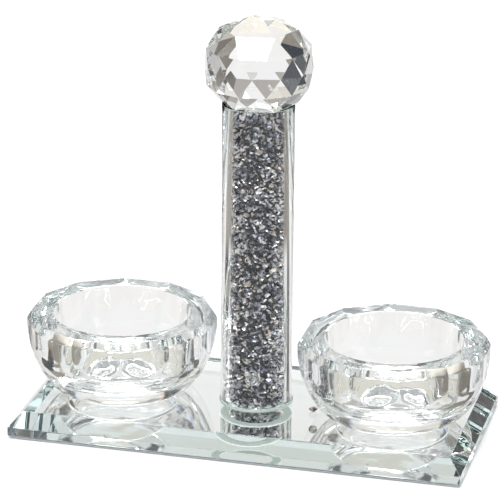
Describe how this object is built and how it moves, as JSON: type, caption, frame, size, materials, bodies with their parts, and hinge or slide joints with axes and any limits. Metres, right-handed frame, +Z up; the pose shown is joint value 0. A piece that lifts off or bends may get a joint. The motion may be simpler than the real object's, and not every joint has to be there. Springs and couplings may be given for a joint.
{
  "type": "twin dish stand",
  "caption": "Bevelled mirror-backed glass plate that carries thick faceted glass bowls beside a stone-filled glass column with a faceted ball on top.",
  "frame": {"origin": "centre of the underside of the plate, on the surface that it stands on", "axes": "+X along the plate from the left bowl to the right bowl, +Y across the plate to the back, +Z up the column"},
  "size_m": [0.1554, 0.0706, 0.1427],
  "materials": {
    "plate_glass": "polished, faint green at the edges",
    "silver": "mirror",
    "film": "matte",
    "cement": "clear",
    "tube_glass": "polished",
    "stones": "faceted, smoky grey and clear",
    "crystal": "cut and polished",
    "bowl_glass": "polished"
  },
  "bodies": {
    "root": {"base_plate": "plate_glass", "mirror_silver": "silver", "backing_film": "film", "foot_cement": "cement", "column_tube": "tube_glass", "stones_bottom": "stones", "stones_lower": "stones", "stones_upper": "stones", "stones_top": "stones", "stone_core": "stones", "ball_cement": "cement", "crystal_ball": "crystal", "left_cement": "cement", "right_cement": "cement", "left_bowl": "bowl_glass", "right_bowl": "bowl_glass", "stray_stone": "stones"}
  },
  "joints": []
}
